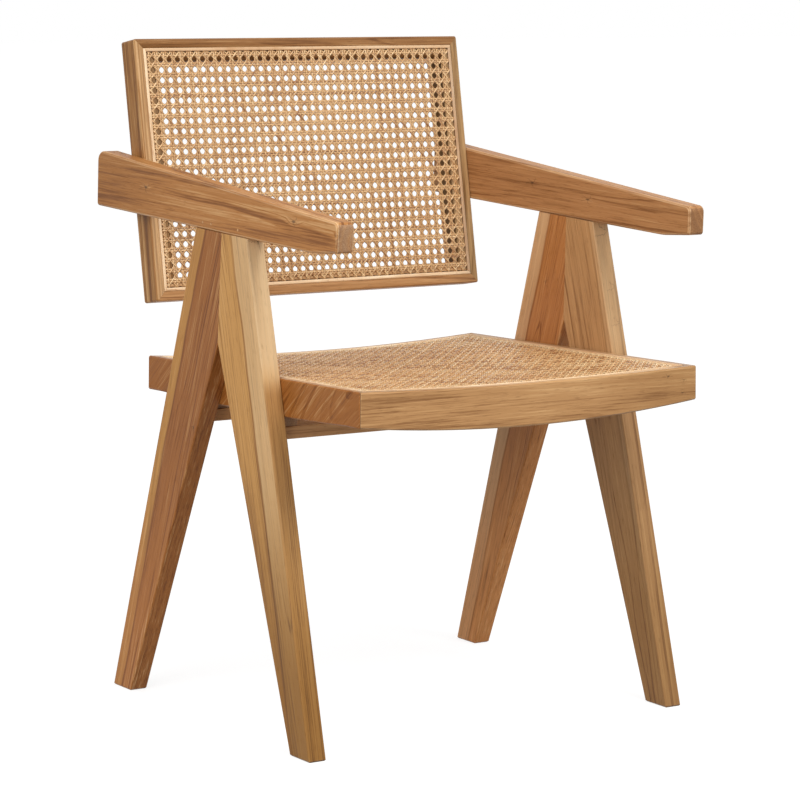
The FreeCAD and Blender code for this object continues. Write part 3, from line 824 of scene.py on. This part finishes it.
# Marks end grain, painted shade on faces under or behind the cane, and painted light on lit ledges and lit
# faces
def markFaces(bm, member):
    wearAndLight = bm.faces.layers.float["wearAndLight"]
    cut = bm.faces.layers.float.new("endGrain")
    paintedShade = bm.faces.layers.float.new("paintedShade")
    along = Vector(member.get("along", (0, 0, 0))).normalized()
    shade = member.get("paintedShade", rounding["caneShade"])
    for face in bm.faces:
        face.smooth = True
        face[cut] = float(abs(face.normal.dot(along)) > rounding["endFacing"])
        over = canes.ray_cast(face.calc_center_median(), face.normal, rounding["caneReach"])[0]
        # a face under the cane gets painted shade, or painted light where the amount is negative, as on a
        # lit ledge
        if over is not None:
            face[paintedShade] = max(shade, 0)
            face[wearAndLight] = max(-shade, 0)
        # faces turned to the light get painted light
        elif "litFace" in member and face.normal.dot(Vector(member["litFace"])) > rounding["litFacing"]:
            face[wearAndLight] = 1
        elif "wall" in member and face.normal.dot(Vector(member["wall"])) > rounding["wallFacing"]:
            face[paintedShade] = rounding["wallShade"]


# A wooden piece with eased edges, from a merged copy of its solid
def roundedPiece(name, member, material):
    bm = bmesh.new()
    bm.from_mesh(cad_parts[name].data)
    bmesh.ops.remove_doubles(bm, verts=bm.verts[:], dist=rounding["merge"])
    flat = math.radians(rounding["flatAngle"])
    bmesh.ops.dissolve_limit(bm, angle_limit=flat, verts=bm.verts[:], edges=bm.edges[:])
    bevelEdges(bm, name, member.get("round", rounding["open"]))
    markFaces(bm, member)
    for edge in sharpEdges(bm, rounding["shadeAngle"]):
        edge.smooth = False
    piece = addObject(name + "_board", meshFrom(bm, name + "_board"))
    normals = piece.modifiers.new("evenNormals", "WEIGHTED_NORMAL")
    normals.keep_sharp = True
    piece.data.materials.append(material)
    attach(piece, "root")
    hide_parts(name)


for name, member in members.items():
    look = {**teakLooks, **member}
    roundedPiece(name, look, teakMaterial(name, look))
print("teak boards made,", len(members))

# Woven cane

# Every size is in metres; a panel's own frame is X across, Y along it and Z out of its caned face
weave = {
    "pairWidth": 0.0026,  # a strand of the pairs that cross squarely
    "pairStep": 0.00285,  # between the middles of a pair's two strands
    "slantWidth": 0.0023,
    "thickness": 0.0005,
    "layer": 0.0005,  # height between strands that cross
    "slantSwing": 1.35,  # over one, so slanting strands run level between crossings
    "pairSwing": 0.62,  # of the layer
    "level": -0.0007,  # of the weave's middle, under the frame's face
    "bendInset": 0.0175,  # where the cane turns down into its groove
    "bendRadius": 0.0009,
    "bendShares": (0, 1 / 3, 2 / 3, 1),  # where the bend gets lines of points
    "endInset": 0.0098,
    "highlightEnd": 0.031,  # how far in from the panel's outer edge its cane is paler, a painted highlight
    "parts": 8,  # from one hole to the next
    "cutNear": 1e-6,
    "flatFacing": 0.5,
    "toneTurn": 12.9898,  # these two scatter the strands' tones
    "toneSpread": 43758.5453,
    "bump": 0.5,
    "bumpDepth": 0.0006,
    "coat": 0.25,
    "coatRough": 0.18,
}
# The hole is the middle of one that every other is counted from
# rim is how strong the painted highlight is towards a panel's edges
panels = {
    "back": {
        "origin": (0, 0.16559, 0.4838), "tilt": 90 - 11.84, "half": 0.24598, "length": 0.32308,
        "dips": (0, 0), "pitch": (0.0122, 0.01269), "hole": (0.1925, 0.1828),
        "pale": (246, 212, 162), "middle": (215, 170, 116), "dark": (142, 88, 44),
        "variety": 0.5, "rim": 0.1,
    },
    "seat": {
        "origin": (0, -0.27181, 0.4344), "tilt": -2.428, "half": 0.24828, "length": 0.4532,
        "dips": (0.0050, 0.0088), "pitch": (0.01245, 0.01245), "hole": (0.0, 0.2266),
        "pale": (255, 224, 172), "middle": (240, 192, 132), "dark": (156, 98, 48),
        "variety": 1.0, "rim": 1.2,
    },
}


def addRibbon(bm, start, end, width, parts):
    run = end - start
    place = Matrix.Translation((start + end) / 2) @ Matrix.Rotation(math.atan2(run.y, run.x), 4, "Z")
    place = place @ Matrix.Diagonal((run.length, width, 1, 1))
    bmesh.ops.create_grid(bm, x_segments=parts, y_segments=1, size=0.5, matrix=place)


# The first and last column and row of holes, all beyond the panel
def holeRanges(panel):
    (pitchX, pitchY), (holeX, holeY) = panel["pitch"], panel["hole"]
    half, length = panel["half"], panel["length"]
    columns = math.floor((-half - holeX) / pitchX), math.ceil((half - holeX) / pitchX)
    rows = math.floor(-holeY / pitchY), math.ceil((length - holeY) / pitchY)
    return columns, rows


def holePlace(panel, column, row):
    (pitchX, pitchY), (holeX, holeY) = panel["pitch"], panel["hole"]
    return Vector((holeX + column * pitchX, holeY + row * pitchY, 0))


# The flat ribbons that run up or across in pairs, between the holes
def layPairs(bm, panel, direction):
    (firstX, lastX), (firstY, lastY) = holeRanges(panel)
    inset = weave["bendInset"] + weave["pairWidth"] / 2
    parts = weave["parts"]
    for side in (-0.5, 0.5):
        shift = side * weave["pairStep"]
        for column in range(firstX, lastX):
            start, end = (holePlace(panel, column + 0.5, row) for row in (firstY, lastY))
            if direction == "warp" and abs(start.x + shift) < panel["half"] - inset:
                move = Vector((shift, 0, 0))
                addRibbon(bm, start + move, end + move, weave["pairWidth"], parts * (lastY - firstY))
        for row in range(firstY, lastY):
            start, end = (holePlace(panel, column, row + 0.5) for column in (firstX, lastX))
            if direction == "weft" and inset < start.y + shift < panel["length"] - inset:
                move = Vector((0, shift, 0))
                addRibbon(bm, start + move, end + move, weave["pairWidth"], parts * (lastX - firstX))


# The flat ribbons that slant one way, each across the corners of its holes
def laySlants(bm, panel, turn):
    (firstX, lastX), (firstY, lastY) = holeRanges(panel)
    reach = lastY - firstY + lastX - firstX
    for number in range(-reach, reach + 1):
        steps = range(firstX - 1, lastX + 2)
        inside = [count for count in steps if firstY - 1 <= number + turn * count <= lastY + 1]
        if len(inside) > 1:
            counts = (inside[0], inside[-1])
            start, end = (holePlace(panel, count + 0.5, number + turn * count) for count in counts)
            addRibbon(bm, start, end, weave["slantWidth"], weave["parts"] * (len(inside) - 1))


# Cuts the ribbons off beyond the groove, with a line of points at each step of the bend
def trimRibbons(bm, panel):
    half, length, bend = panel["half"], panel["length"], weave["bendInset"]
    turnEnd = bend - weave["bendRadius"] * math.pi / 2
    insets = [weave["endInset"]] + [turnEnd + (bend - turnEnd) * share for share in weave["bendShares"]]
    for inset in insets:
        planes = {
            (1, 0, 0): (half - inset, 0, 0), (-1, 0, 0): (inset - half, 0, 0),
            (0, 1, 0): (0, length - inset, 0), (0, -1, 0): (0, inset, 0),
        }
        for normal, point in planes.items():
            values = {"plane_co": point, "plane_no": normal, "clear_outer": inset == insets[0]}
            geometry = bm.verts[:] + bm.edges[:] + bm.faces[:]
            bmesh.ops.bisect_plane(bm, geom=geometry, dist=weave["cutNear"], **values)
    corners = []
    for face in bm.faces:
        middle = face.calc_center_median()
        if abs(middle.x) > half - bend and not bend < middle.y < length - bend:
            corners.append(face)
    bmesh.ops.delete(bm, geom=corners, context="FACES")


# How far a count of holes is from halfway between two
def fromMiddle(count):
    return count - np.floor(count) - 0.5


# How high each point lies over the weave's middle, for places counted in holes
def weaveHeights(direction, column, row, panel):
    layer = weave["layer"]
    if direction in ("rise", "fall"):
        swing = np.clip(weave["slantSwing"] * np.cos(2 * np.pi * (column - 0.5)), -1, 1) * layer
        return -swing if direction == "rise" else swing
    pitchX, pitchY = panel["pitch"]
    if direction == "warp":
        side = np.sign(fromMiddle(column))
        off = fromMiddle(row) * pitchY
    else:
        side = -np.sign(fromMiddle(row))
        off = fromMiddle(column) * pitchX
    quarter = pitchX / weave["parts"]
    wave = np.where(np.abs(off) < 2 * quarter, np.sin(np.pi * off / (2 * quarter)), 0)
    return side * wave * layer * weave["pairSwing"]


# Where each point lies: across its strand from -1 to 1, along it in metres, and the strand's number
def strandValues(direction, x, y, column, row, panel):
    pitchX, pitchY = panel["pitch"]
    if direction in ("warp", "weft"):
        count, along, pitch = (column, y, pitchX) if direction == "warp" else (row, x, pitchY)
        off = fromMiddle(count) * pitch
        across = (off - np.sign(off) * weave["pairStep"] / 2) / (weave["pairWidth"] / 2)
        return across, along, np.floor(count) * 2 + (off > 0)
    turn = 1 if direction == "rise" else -1
    number = row - turn * (column - 0.5)
    slant = math.hypot(pitchX, pitchY)
    off = (number - np.round(number)) * pitchX * pitchY / slant
    return off / (weave["slantWidth"] / 2), (column - 0.5) * slant, np.round(number)


# Each point's tone: its strand's own, and paler towards the panel's edges, a painted highlight
def strandTones(panel, x, y, number, seed):
    tone = np.modf(np.abs(np.sin(number * weave["toneTurn"] + seed) * weave["toneSpread"]))[0]
    tone = 0.5 + (tone - 0.5) * panel["variety"]
    edge = np.minimum(panel["half"] - np.abs(x), np.minimum(y, panel["length"] - y))
    rim = np.clip((weave["highlightEnd"] - edge) / (weave["highlightEnd"] - weave["bendInset"]), 0, 1)
    return tone + panel["rim"] * rim


# Weaves the strands, bends their ends into the groove and puts the panel in its place
def placeStrands(mesh, panel, direction, seed):
    flat = np.empty(len(mesh.vertices) * 3)
    mesh.vertices.foreach_get("co", flat)
    x, y, height = flat.reshape(-1, 3).T.copy()
    column = (x - panel["hole"][0]) / panel["pitch"][0]
    row = (y - panel["hole"][1]) / panel["pitch"][1]
    across, along, number = strandValues(direction, x, y, column, row, panel)
    tone = strandTones(panel, x, y, number, seed)
    strand = mesh.attributes.new("strand", "FLOAT_VECTOR", "POINT")
    strand.data.foreach_set("vector", np.stack([across, along, tone], -1).ravel())
    height = height + weaveHeights(direction, column, row, panel)
    half, length, radius, bend = panel["half"], panel["length"], weave["bendRadius"], weave["bendInset"]
    # over the groove's edge a strand turns a quarter of a circle and then goes straight down
    over = [np.abs(x) - (half - bend), bend - y, y - (length - bend)]
    past = np.maximum(np.maximum(over[0], np.maximum(over[1], over[2])), 0)
    angle = np.minimum(past / radius, np.pi / 2)
    out = (radius + height) * np.sin(angle) - past
    down = radius * (1 - np.cos(angle)) + np.maximum(past - radius * np.pi / 2, 0)
    level = weave["level"] + height * np.cos(angle) - down
    x = x + np.where(over[0] > 0, np.sign(x) * out, 0)
    y = y + np.where(over[2] > 0, out, 0) - np.where(over[1] > 0, out, 0)
    dip = panel["dips"][0] + (panel["dips"][1] - panel["dips"][0]) * y / length
    level = level - dip * (1 - (x / half) ** 2)
    tilt = math.radians(panel["tilt"])
    forward = y * math.cos(tilt) - level * math.sin(tilt)
    upward = y * math.sin(tilt) + level * math.cos(tilt)
    placed = np.stack([x, forward, upward], -1)
    mesh.vertices.foreach_set("co", (placed + panel["origin"]).ravel())


def caneMaterial(name, panel):
    material, tree, shader = newMaterial(name + "_cane_skin")
    tones = {tone.title(): colour(*panel[tone]) for tone in ("pale", "middle", "dark")}
    skin = useGroup(tree, caneSkin, {"Strand": attribute(tree, "strand", "Vector"), **tones})
    dress(tree, shader, skin, weave["bump"], weave["bumpDepth"])
    shader.inputs["Coat Weight"].default_value = weave["coat"]
    shader.inputs["Coat Roughness"].default_value = weave["coatRough"]
    return material


# One direction's strands, smooth on their flat faces only
def strandMesh(name, panel, direction, seed):
    bm = bmesh.new()
    if direction in ("warp", "weft"):
        layPairs(bm, panel, direction)
    else:
        laySlants(bm, panel, 1 if direction == "rise" else -1)
    trimRibbons(bm, panel)
    bmesh.ops.translate(bm, verts=bm.verts[:], vec=(0, 0, weave["thickness"] / 2))
    bmesh.ops.solidify(bm, geom=bm.faces[:], thickness=weave["thickness"])
    bmesh.ops.recalc_face_normals(bm, faces=bm.faces[:])
    mesh = meshFrom(bm, "%s_cane_%s" % (name, direction))
    normals = np.empty(len(mesh.polygons) * 3)
    mesh.polygons.foreach_get("normal", normals)
    mesh.polygons.foreach_set("use_smooth", np.abs(normals[2::3]) > weave["flatFacing"])
    placeStrands(mesh, panel, direction, seed)
    return mesh


def wovenCane(name, panel):
    material = caneMaterial(name, panel)
    for seed, direction in enumerate(("warp", "weft", "rise", "fall")):
        mesh = strandMesh(name, panel, direction, seed)
        mesh.materials.append(material)
        piece = addObject(mesh.name, mesh)
        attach(piece, "root")
        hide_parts(name + "_cane")
        print(mesh.name, len(mesh.vertices), "points")


for name, panel in panels.items():
    wovenCane(name, panel)
print("cane woven")

# Splines, pegs and screws

reed = {
    "pale": (250, 228, 194),
    "middle": (238, 206, 166),
    "dark": (196, 150, 104),
    "shade": (150, 104, 62),
    "shaded": {"back_spline_right": 0.55},  # how much of the painted shade colour a spline takes
    "ease": 0.0005,
    "scale": (1, 330, 1),  # these three set how fine the fibres are
    "deepScale": 300,
    "lineTurn": 0.6,
    "tone": 0.5,
    "bump": 0.2,
    "bumpDepth": 0.0002,
}


# The reed of the splines: pale, with fibres along it
def reedMaterial(name, along):
    material, tree, shader = newMaterial(name)
    place = turnedPlace(tree, (0, 0, 0), Vector(along).to_track_quat("X", "Z").to_euler())
    run, across, deep = parted(tree, scaled(tree, place, reed["scale"]))
    lines = times(tree, plus(tree, across, times(tree, deep, reed["deepScale"])), reed["lineTurn"])
    inputs = {"Strand": joined(tree, calculate(tree, "SINE", lines), run, reed["tone"])}
    # the right back spline gets a share of painted shade
    shade = reed["shaded"].get(name, 0)
    for tone in ("pale", "middle", "dark"):
        inputs[tone.title()] = toned(colour(*reed[tone]), colour(*reed["shade"]), shade)
    dress(tree, shader, useGroup(tree, caneSkin, inputs), reed["bump"], reed["bumpDepth"])
    return material


# Which way a panel's side splines run, and the names of those that lie across
splines = {
    "seat": ((0, 1, -0.042), "front", "rear"),
    "back": ((0, 0.205, 0.979), "bottom", "top"),
}
for panel, (rise, *across) in splines.items():
    for side in across + ["left", "right"]:
        name = "%s_spline_%s" % (panel, side)
        material = reedMaterial(name, (1, 0, 0) if side in across else rise)
        roundedPiece(name, {"round": reed["ease"]}, material)

# Which way the grain runs, and its tone
pegs = {
    "arm_pins": ((1, 0, 0), (206, 160, 110)),
    "back_dowels": ((1, 0, 0), (190, 146, 96)),
    "leg_joint_tongues": ((0, 0, 1), (176, 128, 80)),
    "back_mitre_tongues": ((1, 0, 1), (176, 128, 80)),
    "seat_mitre_tongues": ((1, 1, 0), (176, 128, 80)),
}
pegLook = {**teakLooks, "origin": (0, 0, 0), "inward": (0, 1, 0.2), "seed": 3.3, "contrast": 0.8}
for name, (along, tone) in pegs.items():
    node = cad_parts[name]
    node.data.materials.clear()
    node.data.materials.append(teakMaterial(name, {**pegLook, "along": along, "tone": tone}))

steel = {
    "lineNoise": ((300, 2600, 2600), 3, 0.6),
    "dark": (0.42, 0.42, 0.41, 1),
    "pale": (0.66, 0.66, 0.64, 1),
    "roughLines": (0.2, 0.8, 0.28, 0.5),
    "bump": 0.2,
    "bumpDepth": 0.0001,
}


# Brushed steel with fine turned lines
def steelMaterial():
    material, tree, shader = newMaterial("brushedSteel")
    place = tree.nodes.new("ShaderNodeTexCoord").outputs["Object"]
    lines = noise(tree, place, *steel["lineNoise"])[0]
    effect = {
        "Color": mixed(tree, lines, steel["dark"], steel["pale"]),
        "Roughness": step(tree, lines, *steel["roughLines"]),
        "Height": lines,
    }
    dress(tree, shader, effect, steel["bump"], steel["bumpDepth"])
    shader.inputs["Metallic"].default_value = 1
    return material


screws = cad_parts["seat_screws"]
screws.data.materials.clear()
screws.data.materials.append(steelMaterial())
print("splines, pegs and screws made")
